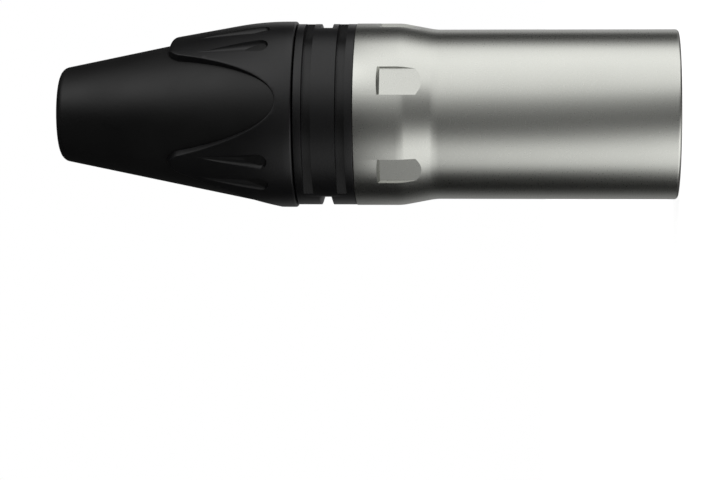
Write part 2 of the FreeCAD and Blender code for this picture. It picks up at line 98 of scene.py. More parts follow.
COUNT_SCALLOPS = 3
COUNT_POCKETS = 6
COUNT_TEETH = 4
TENT_STEPS = 96

# Where the nut's thread stops and its cone and the chuck's begin
THREAD_END = NECK_END + 1.0


def linear(code):
    """Linear colour from an sRGB hex value."""
    shares = [int(code[place:place + 2], 16) / 255 for place in (1, 3, 5)]
    return tuple(s / 12.92 if s <= 0.04045 else ((s + 0.055) / 1.055) ** 2.4 for s in shares)


def length(name, description, default):
    """A length property, with its default given in millimetres."""
    return bpy.props.FloatProperty(
        name=name, description=description, default=default * MM, min=0.0, unit="LENGTH", precision=5)


def angle(name, description, default):
    """An angle property, with its default given in degrees."""
    return bpy.props.FloatProperty(
        name=name, description=description, default=math.radians(default), subtype="ANGLE")


def colour(name, description, code):
    """A colour property, with its default given as sRGB hex."""
    return bpy.props.FloatVectorProperty(
        name=name, description=description, default=linear(code), size=3, min=0.0, max=1.0,
        subtype="COLOR")


class ShellSizes(bpy.types.PropertyGroup):
    socket_radius: length("Socket radius", "Inner radius of the barrel at its mouth", 8.1)
    barrel_radius: length("Barrel radius", "Outer radius of the plain barrel", 9.5)
    barrel_length: length("Barrel length", "Straight barrel from the mouth to the flare", 27.0)
    flare_length: length("Flare length", "Cone between the barrel and the collar", 3.7)
    flare_blend: length("Flare blend", "How far each end of the flare is rounded", 0.5)
    rear_bore: length("Rear bore radius", "Bore behind the stop rib", 7.4)
    stop_rib: length("Stop rib radius", "Bore of the rib that stops the contact carrier", 6.9)
    stop_rib_length: length("Stop rib length", "Length of the rib along the axis", 1.4)
    neck_radius: length("Neck radius", "Crest of the neck's thread", 8.3)
    lip_round: length("Lip round", "Rounding of the mouth's outer edge", 0.36)
    pocket_depth: length("Pocket depth", "Depth of a grip pocket under the collar", 0.44)
    pocket_width: length("Pocket width", "Width of a pocket's flat floor", 3.1)
    pocket_land: length("Pocket land", "Collar left between the pockets and the shoulder", 2.91)
    key_width: length("Key width", "Width of the key in the socket", 2.2)
    key_height: length("Key height", "How far the key stands out of the socket's wall", 0.9)
    key_setback: length("Key setback", "From the mouth to the key", 8.0)
    latch_width: length("Latch width", "Width of the recess for the socket's latch", 5.0)
    latch_length: length("Latch length", "Length of the latch recess along the axis", 2.6)
    latch_setback: length("Latch setback", "From the mouth to the latch recess", 3.6)
    latch_depth: length("Latch depth", "Depth of the latch recess", 0.7)


class ThreadSizes(bpy.types.PropertyGroup):
    pitch: length("Thread pitch", "Advance of the boot nut in one turn", 1.25)
    depth: length("Thread depth", "Height of the thread's ridge", 0.3)


class InsertSizes(bpy.types.PropertyGroup):
    arm_gap: length("Arm gap", "Opening between the carrier's two arms", 7.0)
    pin_circle: length("Pin circle radius", "Distance of the contacts from the axis", 4.45)
    pin_spread: angle("Pin spread", "Turn of contacts one and two from the key", 59.0)
    pin_radius: length("Pin radius", "Radius of a contact", 1.2)
    cup_radius: length("Cup radius", "Outer radius of a contact's shank and solder cup", 1.57)
    cup_bore: length("Cup bore radius", "Bore of a solder cup", 1.15)
    tab_width: length("Earth tab width", "Width of the earthing strip", 3.4)
    tab_thickness: length("Earth tab thickness", "Thickness of the earthing strip", 0.4)


class ChuckSizes(bpy.types.PropertyGroup):
    wall: length("Chuck wall", "Wall of the chuck's sleeve", 1.9)
    jaw_wall: length("Jaw wall", "Wall of the jaws at their ends, over the cable", 1.35)
    tooth_pitch: length("Tooth pitch", "From one tooth to the next", 1.6)
    tooth_height: length("Tooth height", "How far a tooth stands in from the jaw", 0.45)
    slit_width: length("Slit width", "Width of the slits between the jaws", 1.3)
    slit_length: length("Slit length", "Length of the slits from the jaws' ends", 15.5)


class RingSizes(bpy.types.PropertyGroup):
    bore: length("Ring bore radius", "Bore of the coding ring", 8.4)
    flange: length("Flange width", "Width of the ring's outer flanges", 0.9)
    groove: length("Groove width", "Width of each groove", 1.07)
    groove_depth: length("Groove depth", "Depth of each groove", 1.0)
    groove_span: angle("Groove span", "How far round each groove keeps its full depth", 101.5)
    notch: length("Notch width", "Width of the notch across the band at its mouth", 1.4)
    notch_depth: length("Notch depth", "Depth of the notch", 0.85)
    notch_span: angle("Notch span", "How far round each notch keeps its full depth", 54.0)
    right_notch: angle("Right notch turn", "From the grooves' middle to the notch towards +X", 106.4)
    left_notch: angle("Left notch turn", "From the grooves' middle to the notch towards -X", 130.0)
    turn: angle("Ring turn", "How far the ring is turned from the key", -5.7)


class BootSizes(bpy.types.PropertyGroup):
    bore: length("Nut bore radius", "Crest of the thread inside the nut", 8.38)
    land: length("Nut land", "Straight band at the nut's front", 1.05)
    lobe_length: length("Lobe length", "From the nut's front to the end of its lobes", 14.25)
    lobe_curve: length("Lobe curve radius", "Radius of the curve along a lobe", 32.0)
    lobe_taper: angle("Lobe taper", "Slope of a lobe's last stretch", 10.1)
    lobe_round: length("Lobe tip round", "Rounding of a lobe's end seen from the side", 0.75)
    lobe_corner: length("Lobe corner", "Rounding of a lobe's corners seen from outside", 1.5)
    turn: angle("Nut turn", "How far the nut is turned from the key", -13.0)
    scallop_pitch: angle("Scallop pitch", "Turn from one scallop to the next", 96.0)
    scallop_setback: length("Scallop setback", "From the nut's front to the scallop's apex", 1.85)
    scallop_reach: length("Scallop reach", "Half length of the scallop's ellipse", 23.9)
    scallop_half: angle("Scallop half angle", "Half of the scallop's opening at the lobe's end", 43.3)
    scallop_lean: angle("Scallop lean", "How far the scallop's walls lean outwards", 15.0)
    scallop_ease: length("Scallop ease", "How far the scallop's edges are rounded", 0.12)
    flute_radius: length("Flute radius", "Radius of a flute's round end", 1.0)
    flute_depth: length("Flute depth", "Depth of a flute at its round end", 0.66)
    flute_setback: length("Flute setback", "From the nut's front to a flute's round end", 3.75)
    flute_length: length("Flute length", "From a flute's round end to its point", 7.7)
    flute_pitch: angle("Flute pitch", "Turn between the two flutes of a pair", 18.0)
    gland_front: length("Gland front radius", "Gland cone at the scallop's apex", 10.3)
    gland_tip: length("Gland tip radius", "Gland cone at the cable end", 5.155)
    gland_skin: length("Gland skin", "Soft layer over the nut's core in the scallops", 0.55)
    cable_radius: length("Cable radius", "Bore that the cable passes through", 4.0)
    tip_round: length("Gland tip round", "Rounding of the gland's end", 0.85)


class Finishes(bpy.types.PropertyGroup):
    nickel: colour("Satin nickel", "Plating of the shell", "#CCCDC7")
    silver: colour("Silver plate", "Plating of the contacts", "#E6E4DE")
    tin: colour("Tinned strip", "Plating of the earth tab", "#D2D1CC")
    polyamide: colour("Black polyamide", "Boot nut and coding ring", "#0C0C0D")
    elastomer: colour("Black elastomer", "Boot gland", "#0C0C0C")
    carrier: colour("Carrier black", "Contact carrier", "#1A1A1B")
    acetal: colour("Chuck black", "Cable chuck", "#262627")


def millimetres(group):
    """The group's sizes as plain numbers: lengths in millimetres, angles in radians."""
    sizes = {}
    for name in group.__annotations__:
        entry = getattr(group, name)
        angular = group.bl_rna.properties[name].subtype == "ANGLE"
        sizes[name] = entry if angular else entry / MM
    return sizes


def settings(part):
    """The scene's own sizes or finishes for one part of the plug."""
    return getattr(bpy.context.scene, "plug_" + part)


# Mesh helpers: each works on a bmesh in millimetres

def outline(bm, corners):
    """A flat face in the XZ plane; a third number on a corner is how far it is rounded."""
    spots = [bm.verts.new((corner[0], 0.0, corner[1])) for corner in corners]
    bm.faces.new(spots)
    roundings = [corner[2] if len(corner) > 2 else 0.0 for corner in corners]
    for rounding in sorted(set(roundings) - {0.0}):
        picked = [spot for spot, size in zip(spots, roundings) if size == rounding]
        bmesh.ops.bevel(
            bm, geom=picked, offset=rounding, offset_type="OFFSET", affect="VERTICES",
            segments=CORNER_STEPS, profile=0.5, material=-1, clamp_overlap=False)
    return bm.faces[:]


def turned(corners, steps=ROUND_STEPS):
    """A full turn of an outline round Z; an edge that lies on the axis is left out."""
    bm = bmesh.new()
    bmesh.ops.delete(bm, geom=outline(bm, corners), context="FACES_ONLY")
    on_axis = [edge for edge in bm.edges if all(abs(vert.co.x) < 1e-6 for vert in edge.verts)]
    bmesh.ops.delete(bm, geom=on_axis, context="EDGES")
    bmesh.ops.spin(
        bm, geom=bm.verts[:] + bm.edges[:], cent=(0, 0, 0), axis=(0, 0, 1), dvec=(0, 0, 0),
        angle=2 * math.pi, steps=steps, use_merge=True, use_duplicate=False)
    bmesh.ops.remove_doubles(bm, verts=bm.verts[:], dist=1e-5)
    bmesh.ops.recalc_face_normals(bm, faces=bm.faces[:])
    return bm


def swept(corners, span, steps, rise):
    """An outline swept along a helix, closed at both ends; rise is its climb in a full turn."""
    bm = bmesh.new()
    bmesh.ops.delete(bm, geom=outline(bm, corners), context="FACES_ONLY")
    climb = rise * span / (2 * math.pi) / steps
    bmesh.ops.spin(
        bm, geom=bm.verts[:] + bm.edges[:], cent=(0, 0, 0), axis=(0, 0, 1), dvec=(0, 0, climb),
        angle=span, steps=steps, use_merge=False, use_duplicate=False)
    bmesh.ops.holes_fill(bm, edges=[edge for edge in bm.edges if edge.is_boundary])
    bmesh.ops.recalc_face_normals(bm, faces=bm.faces[:])
    return bm


def rotated(bm, turn, axis="Z"):
    """The whole mesh turned about one of its axes."""
    bmesh.ops.rotate(bm, cent=(0, 0, 0), matrix=Matrix.Rotation(turn, 3, axis), verts=bm.verts[:])
    return bm


def lofted(bm, loops):
    """Close a row of vertex loops of one length into a solid."""
    for loop, after in zip(loops, loops[1:]):
        for place in range(len(loop)):
            beside = (place + 1) % len(loop)
            bm.faces.new((loop[place], loop[beside], after[beside], after[place]))
    bm.faces.new(loops[0])
    bm.faces.new(loops[-1])
    bmesh.ops.recalc_face_normals(bm, faces=bm.faces[:])
    return bm


def block(low_corner, high_corner, rounding=0.0, flare=None):
    """A box; its side that faces -Y can be flared across and along, and its edges rounded."""
    bm = bmesh.new()
    bmesh.ops.create_cube(bm, size=1.0)
    middle = (Vector(low_corner) + Vector(high_corner)) / 2
    span = Vector(high_corner) - Vector(low_corner)
    bmesh.ops.scale(bm, vec=span, verts=bm.verts[:])
    bmesh.ops.translate(bm, vec=middle, verts=bm.verts[:])
    if flare:
        outer = [vert for vert in bm.verts if vert.co.y < middle.y]
        wider = ((span.x + 2 * flare[0]) / span.x, 1, (span.z + 2 * flare[1]) / span.z)
        bmesh.ops.scale(bm, vec=wider, space=Matrix.Translation(-middle), verts=outer)
    if rounding:
        bmesh.ops.bevel(
            bm, geom=bm.edges[:], offset=rounding, offset_type="OFFSET", affect="EDGES",
            segments=3, profile=0.5, material=-1)
    return bm


def repeated(bm, count):
    """Copies spread evenly round Z."""
    bmesh.ops.spin(
        bm, geom=bm.verts[:] + bm.edges[:] + bm.faces[:], cent=(0, 0, 0), axis=(0, 0, 1),
        dvec=(0, 0, 0), angle=2 * math.pi * (count - 1) / count, steps=count - 1, use_duplicate=True)
    return bm


def gathered(meshes):
    """Several bmeshes as one, side by side."""
    whole = bmesh.new()
    for bm in meshes:
        holder = bpy.data.meshes.new("holder")
        bm.to_mesh(holder)
        bm.free()
        whole.from_mesh(holder)
        bpy.data.meshes.remove(holder)
    return whole


def working_object(bm):
    """A short-lived object for a cut or a joint."""
    mesh = bpy.data.meshes.new("working")
    bm.to_mesh(mesh)
    bm.free()
    obj = bpy.data.objects.new("working", mesh)
    bpy.context.scene.collection.objects.link(obj)
    return obj


def combined(base, tool, operation):
    """One bmesh cut by another, or joined to it."""
    body = working_object(base)
    other = working_object(tool)
    change = body.modifiers.new("combine", "BOOLEAN")
    change.operation = operation
    change.solver = "EXACT"
    change.object = other
    bpy.context.view_layer.update()
    result = body.evaluated_get(bpy.context.evaluated_depsgraph_get())
    bm = bmesh.new()
    bm.from_mesh(result.to_mesh())
    result.to_mesh_clear()
    for obj in (body, other):
        mesh = obj.data
        bpy.data.objects.remove(obj)
        bpy.data.meshes.remove(mesh)
    if not bm.faces:
        raise RuntimeError("a cut or joint left nothing")
    bmesh.ops.remove_doubles(bm, verts=bm.verts[:], dist=1e-5)
    return bm


def crisp(bm, chosen):
    """Keep the outline of the chosen faces sharp, however shallow the bend is there."""
    for edge in bm.edges:
        inside = [chosen(face) for face in edge.link_faces]
        if any(inside) and not all(inside):
            edge.smooth = False


def finished(bm, name, body, slot, material, *nodes):
    """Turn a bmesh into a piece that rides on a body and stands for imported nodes."""
    for face in bm.faces:
        face.smooth = True
    for edge in bm.edges:
        edge.smooth = edge.smooth and edge.is_manifold and edge.calc_face_angle(0.0) < SMOOTH_ANGLE
    bmesh.ops.scale(bm, vec=(MM, MM, MM), verts=bm.verts[:])
    mesh = bpy.data.meshes.new(name)
    bm.to_mesh(mesh)
    bm.free()
    mesh.materials.append(material)
    piece = bpy.data.objects.new(name, mesh)
    bpy.context.scene.collection.objects.link(piece)
    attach(piece, body)
    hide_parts(*nodes)
    return piece


# Materials

def new_material(name):
    """An empty material with its surface shader and output in place."""
    material = bpy.data.materials.new(name)
    material.use_nodes = True
    tree = material.node_tree
    tree.nodes.clear()
    shader = tree.nodes.new("ShaderNodeBsdfPrincipled")
    output = tree.nodes.new("ShaderNodeOutputMaterial")
    tree.links.new(shader.outputs["BSDF"], output.inputs["Surface"])
    return material, tree, shader


def add(tree, kind, values=None, links=None, **options):
    """Add one node with its options, socket values and links."""
    node = tree.nodes.new(kind)
    for name, option in options.items():
        setattr(node, name, option)
    for socket, value in (values or {}).items():
        node.inputs[socket].default_value = value
    for socket, source in (links or {}).items():
        tree.links.new(source, node.inputs[socket])
    return node


def per_metre(millimetre_size):
    """Pattern scale that makes one feature of a texture as large as this, in millimetres."""
    return 1.0 / (millimetre_size * MM)


def noise(tree, size, detail):
    """A noise fixed to the piece, with features of a size in millimetres."""
    place = add(tree, "ShaderNodeTexCoord").outputs["Object"]
    return add(tree, "ShaderNodeTexNoise", {"Scale": per_metre(size), "Detail": detail},
               {"Vector": place}).outputs["Fac"]


def dress(tree, shader, tones, tint_by, rough, rough_by, strength, height, relief_by):
    """Give a surface a tone between two, a gloss that drifts and a fine relief.

    The relief's height is in millimetres; each of the three follows a texture of its own.
    """
    tint = add(tree, "ShaderNodeMix", {"A": (*tones[0], 1), "B": (*tones[1], 1)},
               {"Factor": tint_by}, data_type="RGBA")
    gloss = add(tree, "ShaderNodeMapRange", rough, {"Value": rough_by})
    relief = add(tree, "ShaderNodeBump", {"Strength": strength, "Distance": height * MM},
                 {"Height": relief_by})
    tree.links.new(tint.outputs["Result"], shader.inputs["Base Color"])
    tree.links.new(gloss.outputs["Result"], shader.inputs["Roughness"])
    tree.links.new(relief.outputs["Normal"], shader.inputs["Normal"])


def scaled(tone, share):
    """A colour made lighter or darker."""
    return [share * level for level in tone]


def gloss_range(low_end, high_end):
    """Roughness over the stretch of a noise where most of it lies."""
    return {"From Min": 0.3, "From Max": 0.7, "To Min": low_end, "To Max": high_end}


def satin_nickel():
    """Die-cast zinc, blasted and plated: broad soft reflections with a very fine sparkle."""
    material, tree, shader = new_material("satin_nickel_on_zinc")
    tone = settings("finishes").nickel
    # The blasted grain is a few hundredths of a millimetre, drawn coarser to show at all
    grain = noise(tree, 0.14, 3.0)
    # The plating drifts in tone over several millimetres
    cloud = noise(tree, 6.0, 4.0)
    dress(tree, shader, (tone, scaled(tone, 0.93)), cloud, gloss_range(0.27, 0.3), grain,
          strength=0.045, height=0.02, relief_by=grain)
    shader.inputs["Metallic"].default_value = 1.0
    return material


def moulded(name, tone, grain_size, grain_height, rough_low, rough_high, index):
    """A black moulding: even colour, the grain of its tool, and gloss that drifts a little.

    Grain sizes are in millimetres; index is the plastic's index of refraction.
    """
    material, tree, shader = new_material(name)
    grain = noise(tree, grain_size, 4.0)
    drift = noise(tree, 5.0, 2.0)
    dress(tree, shader, (tone, scaled(tone, 1.35)), grain, gloss_range(rough_low, rough_high), drift,
          strength=0.25, height=grain_height, relief_by=grain)
    shader.inputs["IOR"].default_value = index
    # The grain's pits shade one another, so the skin mirrors less than its index alone would
    shader.inputs["Specular IOR Level"].default_value = 0.37
    return material


def black_polyamide():
    """Glass-filled polyamide from a spark-eroded tool: satin black with a fine tooth."""
    return moulded("moulded_black_polyamide", settings("finishes").polyamide, grain_size=0.18,
                   grain_height=0.03, rough_low=0.31, rough_high=0.38, index=1.53)


def black_elastomer():
    """Thermoplastic elastomer: soft matt black that spreads its highlight wide."""
    return moulded("soft_black_elastomer", settings("finishes").elastomer, grain_size=0.3,
                   grain_height=0.03, rough_low=0.37, rough_high=0.45, index=1.5)


def carrier_plastic():
    """Flame-retarded polyamide carrier: matt black with a fine grain."""
    return moulded("matt_black_carrier", settings("finishes").carrier, grain_size=0.16,
                   grain_height=0.03, rough_low=0.5, rough_high=0.6, index=1.53)


def acetal():
    """Acetal chuck: smoother and a little shinier than its neighbours."""
    return moulded("smooth_black_acetal", settings("finishes").acetal, grain_size=0.4,
                   grain_height=0.01, rough_low=0.28, rough_high=0.34, index=1.48)


def plated(name, tone, rough_low, rough_high, ring_spacing):
    """Plated metal with the fine rings that turning or rolling leaves under the plate.

    The rings' spacing is in millimetres.
    """
    material, tree, shader = new_material(name)
    place = add(tree, "ShaderNodeTexCoord").outputs["Object"]
    # A wave's bands lie pi / 10 apart at a scale of one
    rings = add(tree, "ShaderNodeTexWave",
                {"Scale": per_metre(ring_spacing) * math.pi / 10, "Distortion": 0.4, "Detail": 2.0},
                {"Vector": place}, bands_direction="Z").outputs["Fac"]
    cloud = noise(tree, 1.5, 3.0)
    dress(tree, shader, (tone, scaled(tone, 0.88)), cloud,
          {"To Min": rough_low, "To Max": rough_high}, cloud,
          strength=0.08, height=0.01, relief_by=rings)
    shader.inputs["Metallic"].default_value = 1.0
    return material


# Pieces

def thread_ridge(root, crest, first, last, pitch):
    """The helical ridge of a thread between two heights, with its foot sunk in the root cylinder."""
    foot = pitch * 0.38
    tip = pitch * 0.1
    sunk = root - math.copysign(0.1, crest - root)
    turns = (last - first) / pitch
    section = [(sunk, first - foot), (root, first - foot), (crest, first - tip),
               (crest, first + tip), (root, first + foot), (sunk, first + foot)]
    return swept(section, 2 * math.pi * turns, int(turns * ROUND_STEPS / 2), rise=pitch)


class PLUG_OT_shell(bpy.types.Operator):
    """Turn the die-cast shell, then cut its pockets, latch recess and neck thread and add its key"""
    bl_idname = "plug.shell"
    bl_label = "Shell"

    def execute(self, context):
        s = millimetres(settings("shell"))
        thread = millimetres(settings("thread"))
        rib_end = DISC_FRONT + s["stop_rib_length"]
        root = s["neck_radius"] - thread["depth"]
        casting = turned([
            (s["socket_radius"], 0, 0.3),
            (s["barrel_radius"], 0, s["lip_round"]),
            (s["barrel_radius"], s["barrel_length"], s["flare_blend"]),
            (COLLAR_RADIUS, s["barrel_length"] + s["flare_length"], s["flare_blend"]),
            (COLLAR_RADIUS, SHOULDER, 0.08),
            (s["neck_radius"], SHOULDER),
            (s["neck_radius"], RING_END, SLIGHT),
            (root, RING_END + 0.2),
            (root, NECK_END, SLIGHT),
            (s["rear_bore"], NECK_END, SLIGHT),
            (s["rear_bore"], rib_end),
            (s["stop_rib"], rib_end),
            (s["stop_rib"], DISC_FRONT),
            (s["socket_radius"], DISC_FRONT),
        ])

        # Each pocket has a flat floor, sloping walls, and runs out on the flare
        floor = COLLAR_RADIUS - s["pocket_depth"]
        outside = COLLAR_RADIUS + s["pocket_depth"]
        side_slope, end_slope = 0.35, 0.8
        pocket = block(
            (-s["pocket_width"] / 2, -outside, s["barrel_length"] - s["flare_length"] / 2),
            (s["pocket_width"] / 2, -floor, SHOULDER - s["pocket_land"]),
            flare=((outside - floor) * side_slope, (outside - floor) * end_slope))
        wall = -s["socket_radius"]
        latch = block(
            (-s["latch_width"] / 2, wall - s["latch_depth"], s["latch_setback"]),
            (s["latch_width"] / 2, wall / 2, s["latch_setback"] + s["latch_length"]))
        cuts = gathered([repeated(pocket, COUNT_POCKETS), latch])
        casting = combined(casting, cuts, "DIFFERENCE")

        # The key's foot is sunk in the wall, and its end stays short of the rib's own
        key = block(
            (-s["key_width"] / 2, wall - 0.7, s["key_setback"]),
            (s["key_width"] / 2, wall + s["key_height"], rib_end - 0.3), rounding=0.12)
        casting = combined(casting, key, "UNION")

        turns = [2 * math.pi * place / COUNT_POCKETS for place in range(COUNT_POCKETS)]
        facings = [Vector((math.sin(turn), -math.cos(turn), 0)) for turn in turns]

        def on_floor(face):
            """Whether a face is part of a pocket's floor: under the collar and square to a facing."""
            centre = face.calc_center_median()
            along = s["barrel_length"] < centre.z < SHOULDER - s["pocket_land"] + 0.5
            sunk = math.hypot(centre.x, centre.y) < COLLAR_RADIUS - 0.02
            square = max(face.normal.dot(facing) for facing in facings) > 0.99999
            return along and sunk and square and abs(face.normal.z) < 1e-3

        crisp(casting, on_floor)
        # The thread starts and stops short of the neck's ends
        lead_in, lead_out = 0.9, 0.6
        ridge = thread_ridge(root, s["neck_radius"], RING_END + lead_in, NECK_END - lead_out,
                             thread["pitch"])
        whole = gathered([casting, ridge])
        finished(whole, "shell_casting", "plug", "nickel_shell", satin_nickel(), "shell")
        return {"FINISHED"}


def pin_turns(s):
    """Turns of the three contacts round the axis: one and two flank the key on -Y."""
    key = -math.pi / 2
    return [key + s["pin_spread"], key - s["pin_spread"], -key]


def pin_place(s, turn):
    """Where a contact stands across the plug."""
    return (s["pin_circle"] * math.cos(turn), s["pin_circle"] * math.sin(turn), 0)


class PLUG_OT_insert(bpy.types.Operator):
    """Mould the contact carrier with its two arms and its contact holes"""
    bl_idname = "plug.insert"
    bl_label = "Contact carrier"

    def execute(self, context):
        s = millimetres(settings("insert"))
        shell = millimetres(settings("shell"))
        rib_play, cup_play, hole_play = 0.05, 0.13, 0.02
        nose = shell["stop_rib"] - rib_play
        rib_end = DISC_FRONT + shell["stop_rib_length"]
        arm_radius = s["pin_circle"] + s["cup_radius"] + cup_play
        hole_radius = s["cup_radius"] + hole_play
        carrier = turned([
            (0, DISC_FRONT), (nose, DISC_FRONT, 0.2), (nose, rib_end),
            (INSERT_RADIUS, rib_end, SLIGHT), (INSERT_RADIUS, ARM_END, 0.15),
            (arm_radius, ARM_END, 0.15), (arm_radius, DISC_END, 0.3), (0, DISC_END)])
        gap = block((-s["arm_gap"] / 2, -INSERT_RADIUS * 1.5, DISC_END),
                    (s["arm_gap"] / 2, INSERT_RADIUS * 1.5, ARM_END + 2))
        holes = []
        for turn in pin_turns(s):
            hole = turned([(0, DISC_FRONT - 1), (hole_radius, DISC_FRONT - 1),
                           (hole_radius, DISC_END + 1), (0, DISC_END + 1)], steps=48)
            bmesh.ops.translate(hole, vec=pin_place(s, turn), verts=hole.verts[:])
            holes.append(hole)
        carrier = combined(carrier, gathered([gap] + holes), "DIFFERENCE")
        finished(carrier, "contact_carrier", "plug", "insert_plastic", carrier_plastic(), "insert")
        return {"FINISHED"}


class PLUG_OT_contacts(bpy.types.Operator):
    """Turn the three contacts with their solder cups and bend the earth tab"""
    bl_idname = "plug.contacts"
    bl_label = "Contacts"

    def execute(self, context):
        s = millimetres(settings("insert"))
        silver = plated("silver_plated_brass", settings("finishes").silver, rough_low=0.16,
                        rough_high=0.24, ring_spacing=0.12)
        # Where the solder cups' bores end
        bottom = DISC_END + 1.2
        for number, turn in enumerate(pin_turns(s), start=1):
            pin = turned([
                (0, PIN_TIP), (s["pin_radius"], PIN_TIP, s["pin_radius"] * 0.85),
                (s["pin_radius"], DISC_FRONT), (s["cup_radius"], DISC_FRONT, 0.08),
                (s["cup_radius"], CUP_END, SLIGHT), (s["cup_bore"], CUP_END, SLIGHT),
                (s["cup_bore"], bottom, 0.3), (0, bottom)], steps=64)
            # The cup is cut open on its inner side, where the wire is soldered in
            window = block((-s["cup_radius"] * 1.5, -s["cup_radius"] * 2, bottom + 0.6),
                           (-s["cup_bore"] / 3, s["cup_radius"] * 2, CUP_END + 1))
            pin = rotated(combined(pin, window, "DIFFERENCE"), turn)
            bmesh.ops.translate(pin, vec=pin_place(s, turn), verts=pin.verts[:])
            finished(pin, "contact_%d" % number, "plug", "pin_silver", silver, "pin_%d" % number)

        # The strip starts on the carrier's back, turns along the bore and bows out to touch it
        contact = -low("earth_tab", 1)
        start = -high("earth_tab", 1)
        middle = (DISC_END + TAB_END) / 2
        bow = 0.4
        seat = contact - bow
        thick = s["tab_thickness"]
        strip = bmesh.new()
        outline(strip, [
            (start, DISC_END), (seat, DISC_END, 0.2), (contact, middle, 0.6), (seat, TAB_END, SLIGHT),
            (seat - thick, TAB_END, SLIGHT), (contact - thick, middle, 0.6),
            (seat - thick, DISC_END + thick, SLIGHT), (start, DISC_END + thick)])
        extruded = bmesh.ops.extrude_face_region(strip, geom=strip.faces[:])
        moved = [item for item in extruded["geom"] if isinstance(item, bmesh.types.BMVert)]
        bmesh.ops.translate(strip, vec=(0, s["tab_width"], 0), verts=moved)
        bmesh.ops.translate(strip, vec=(0, -s["tab_width"] / 2, 0), verts=strip.verts[:])
        rotated(strip, -math.pi / 2)
        bmesh.ops.recalc_face_normals(strip, faces=strip.faces[:])
        tin = plated("tinned_spring_strip", settings("finishes").tin, rough_low=0.22,
                     rough_high=0.32, ring_spacing=0.2)
        finished(strip, "earth_spring", "plug", "tab_metal", tin, "earth_tab")
        return {"FINISHED"}


class PLUG_OT_chuck(bpy.types.Operator):
    """Turn the cable chuck with its toothed jaws and slit it crosswise"""
    bl_idname = "plug.chuck"
    bl_label = "Cable chuck"

    def execute(self, context):
        s = millimetres(settings("chuck"))
        cable = millimetres(settings("boot"))["cable_radius"]
        outer = high("cable_chuck", 0)
        bore = outer - s["wall"]
        jaw = cable + s["jaw_wall"]
        inside = cable + s["tooth_height"]
        crest = JAW_END - 0.675
        teeth = []
        for tooth in range(COUNT_TEETH):
            height = crest - s["tooth_pitch"] * tooth
            teeth += [(inside, height), (cable, height - s["tooth_pitch"] / 2)]
        throat = crest - s["tooth_pitch"] * COUNT_TEETH
        sleeve = turned([
            (bore, CHUCK_FRONT, 0.15), (outer, CHUCK_FRONT, 0.25), (outer, THREAD_END, 0.3),
            (jaw, JAW_END, 0.15), (inside, JAW_END, SLIGHT)] + teeth + [
            (inside, throat), (bore, throat - 2.2)])
        reach = outer * 1.5
        half_slit = s["slit_width"] / 2
        for across in ((half_slit, reach), (reach, half_slit)):
            slit = block((-across[0], -across[1], JAW_END - s["slit_length"]), (*across, JAW_END + 2))
            sleeve = combined(sleeve, slit, "DIFFERENCE")
        finished(sleeve, "chuck_sleeve", "clamp", "chuck_plastic", acetal(), "cable_chuck")
        return {"FINISHED"}


def channel(floor, centre, floor_half, mouth_half, span, middle):
    """Cutter for a channel round the ring whose floor runs out straight at both ends.

    The floor keeps its radius for the span, and the walls spread from its half width to the
    mouth's.
    """
    outside = RING_RADIUS * 1.1
    run = math.acos(floor / (outside - 0.2))
    around = [span * (step / 24 - 0.5) for step in range(25)]
    ends = [span / 2 + run * step / 12 for step in range(1, 13)]
    bm = bmesh.new()
    loops = []
    for bend in [-end for end in reversed(ends)] + around + ends:
        radius = floor / math.cos(max(abs(bend) - span / 2, 0.0))
        risen = min((radius - floor) / (RING_RADIUS - floor), 1.0)
        half = floor_half + (mouth_half - floor_half) * risen
        rim = max(RING_RADIUS, radius + 0.05)
        section = [(radius, -half), (rim, -mouth_half), (outside, -mouth_half),
                   (outside, mouth_half), (rim, mouth_half), (radius, half)]
        turn = middle + bend
        loops.append([bm.verts.new((out * math.cos(turn), out * math.sin(turn), centre + rise))
                      for out, rise in section])
    return lofted(bm, loops)


class PLUG_OT_ring(bpy.types.Operator):
    """Turn the coding ring and cut its grooves and notches"""
    bl_idname = "plug.ring"
    bl_label = "Coding ring"

    def execute(self, context):
        s = millimetres(settings("ring"))
        edge = 0.12
        ring = turned([
            (s["bore"], SHOULDER, SLIGHT), (RING_RADIUS, SHOULDER, edge), (RING_RADIUS, RING_END, edge),
            (s["bore"], RING_END, SLIGHT)])
        front = s["turn"] - math.pi / 2
        cuts = []
        # Two grooves side by side, on the front and again on the back
        floor = RING_RADIUS - s["groove_depth"]
        for start in (SHOULDER + s["flange"], RING_END - s["flange"] - s["groove"]):
            centre = start + s["groove"] / 2
            for side in (0, math.pi):
                cuts.append(channel(floor, centre, s["groove"] / 2 - 0.04, s["groove"] / 2,
                                    s["groove_span"], front + side))
        # A notch across the band at each side, narrower at its floor
        centre = (SHOULDER + RING_END) / 2
        floor = RING_RADIUS - s["notch_depth"]
        for turn in (s["right_notch"], -s["left_notch"]):
            cuts.append(channel(floor, centre, s["notch"] * 0.3, s["notch"] / 2,
                                s["notch_span"], front + turn))
        ring = combined(ring, gathered(cuts), "DIFFERENCE")
        finished(ring, "coding_band", "plug", "ring_plastic", black_polyamide(), "coding_ring")
        return {"FINISHED"}


def lobe_surface(s, height):
    """Radius of the boot nut's outer surface at a height."""
    land_end = NUT_FRONT + s["land"]
    knee = land_end + s["lobe_curve"] * math.sin(s["lobe_taper"])
    if height <= land_end:
        return NUT_RADIUS
    if height < knee:
        run = height - land_end
        return NUT_RADIUS - s["lobe_curve"] + math.sqrt(s["lobe_curve"] ** 2 - run ** 2)
    knee_radius = NUT_RADIUS - s["lobe_curve"] * (1 - math.cos(s["lobe_taper"]))
    return knee_radius - (height - knee) * math.tan(s["lobe_taper"])


